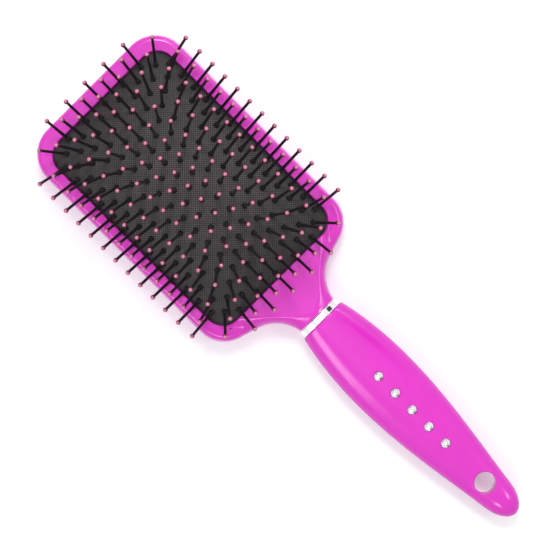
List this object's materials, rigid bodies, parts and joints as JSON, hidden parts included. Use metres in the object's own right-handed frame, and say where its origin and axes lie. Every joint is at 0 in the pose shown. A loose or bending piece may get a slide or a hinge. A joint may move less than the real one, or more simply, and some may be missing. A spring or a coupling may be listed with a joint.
{
  "type": "paddle brush",
  "caption": "Rectangular paddle hair brush with a sprung rubber cushion, ball-tipped pins, a plated collar and a jewelled handle with a hanging hole.",
  "frame": {"origin": "middle of the plan, on the surface that the brush's back rests on", "axes": "+X from the head to the handle's end, +Z the way the pins point"},
  "size_m": [0.2442, 0.084, 0.0401],
  "materials": {
    "body_plastic": "glossy moulded",
    "cushion_rubber": "matte, finely textured",
    "plated_collar": "mirror plated",
    "crystal": "cut and foiled",
    "pin_nylon": "satin nylon",
    "ball_tip": "smooth coated ball"
  },
  "bodies": {
    "brush": {"back_shell": "body_plastic", "front_frame": "body_plastic", "cushion": "cushion_rubber", "neck_ring": "plated_collar", "handle_front": "body_plastic", "handle_back": "body_plastic", "rhinestone_1": "crystal", "rhinestone_2": "crystal", "rhinestone_3": "crystal", "rhinestone_4": "crystal", "rhinestone_5": "crystal"},
    "pin_ring_1": {"pins_ring_1": "pin_nylon", "tips_ring_1": "ball_tip"},
    "pin_ring_2": {"pins_ring_2": "pin_nylon", "tips_ring_2": "ball_tip"},
    "pin_ring_3": {"pins_ring_3": "pin_nylon", "tips_ring_3": "ball_tip"},
    "pin_ring_4": {"pins_ring_4": "pin_nylon", "tips_ring_4": "ball_tip"},
    "pin_ring_5": {"pins_ring_5": "pin_nylon", "tips_ring_5": "ball_tip"},
    "pin_ring_6": {"pins_ring_6": "pin_nylon", "tips_ring_6": "ball_tip"}
  },
  "joints": [
    {"name": "press_ring_1", "type": "slide", "parent": "brush", "child": "pin_ring_1", "axis": [0, 0, -1], "range_m": [0, 0.0028], "stiffness_N_per_m": 1500, "deforming": ["cushion"]},
    {"name": "press_ring_2", "type": "slide", "parent": "brush", "child": "pin_ring_2", "axis": [0, 0, -1], "range_m": [0, 0.00234]},
    {"name": "press_ring_3", "type": "slide", "parent": "brush", "child": "pin_ring_3", "axis": [0, 0, -1], "range_m": [0, 0.00178]},
    {"name": "press_ring_4", "type": "slide", "parent": "brush", "child": "pin_ring_4", "axis": [0, 0, -1], "range_m": [0, 0.00128]},
    {"name": "press_ring_5", "type": "slide", "parent": "brush", "child": "pin_ring_5", "axis": [0, 0, -1], "range_m": [0, 0.00091]},
    {"name": "press_ring_6", "type": "slide", "parent": "brush", "child": "pin_ring_6", "axis": [0, 0, -1], "range_m": [0, 0.00048]}
  ],
  "couplings": [
    {"joint": "press_ring_2", "follows": "press_ring_1", "ratio": 0.8333},
    {"joint": "press_ring_3", "follows": "press_ring_1", "ratio": 0.6333},
    {"joint": "press_ring_4", "follows": "press_ring_1", "ratio": 0.4538},
    {"joint": "press_ring_5", "follows": "press_ring_1", "ratio": 0.3226},
    {"joint": "press_ring_6", "follows": "press_ring_1", "ratio": 0.1667}
  ]
}
